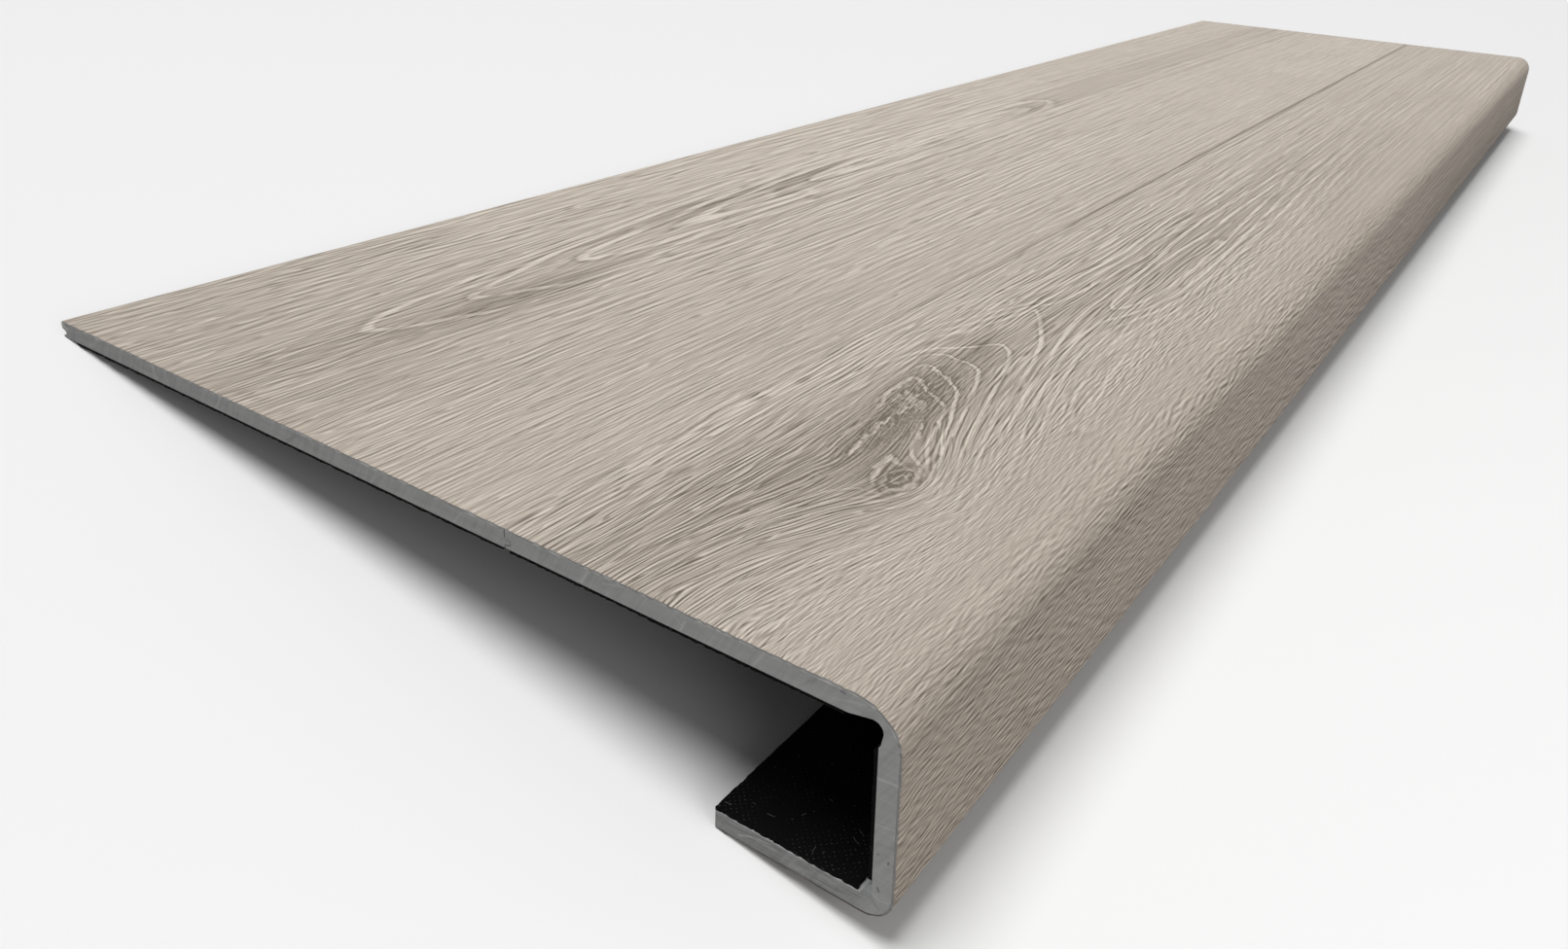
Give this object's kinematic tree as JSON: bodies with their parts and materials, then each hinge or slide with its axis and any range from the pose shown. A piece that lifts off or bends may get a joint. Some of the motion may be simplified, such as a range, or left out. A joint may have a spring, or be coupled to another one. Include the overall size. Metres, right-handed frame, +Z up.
{
  "type": "stair tread",
  "caption": "Wood-look vinyl stair tread with a folded nosing that hooks over the front edge of a step, shown leaning back as it lies on a floor.",
  "frame": {"origin": "centre of the bounding box at floor level, with the tread leaning back on its lip and its rear edge", "axes": "+X along the tread's length, -Y towards the nose and the front of the step, +Y towards the rear edge, +Z up from the floor"},
  "size_m": [1.2, 0.3214, 0.0625],
  "materials": {
    "film": "embossed grey-beige oak pattern, satin",
    "core": "sawn grey stone-plastic composite",
    "backing": "matt black foam with a fine dotted grid",
    "glue": "cured grey glue"
  },
  "bodies": {
    "root": {"rear_plank_core": "core", "rear_plank_film": "film", "rear_plank_pad": "backing", "nosing_core": "core", "nosing_film": "film", "nosing_top_pad": "backing", "nosing_front_pad": "backing", "nosing_lip_pad": "backing", "fold_glue_bead": "glue"}
  },
  "joints": []
}
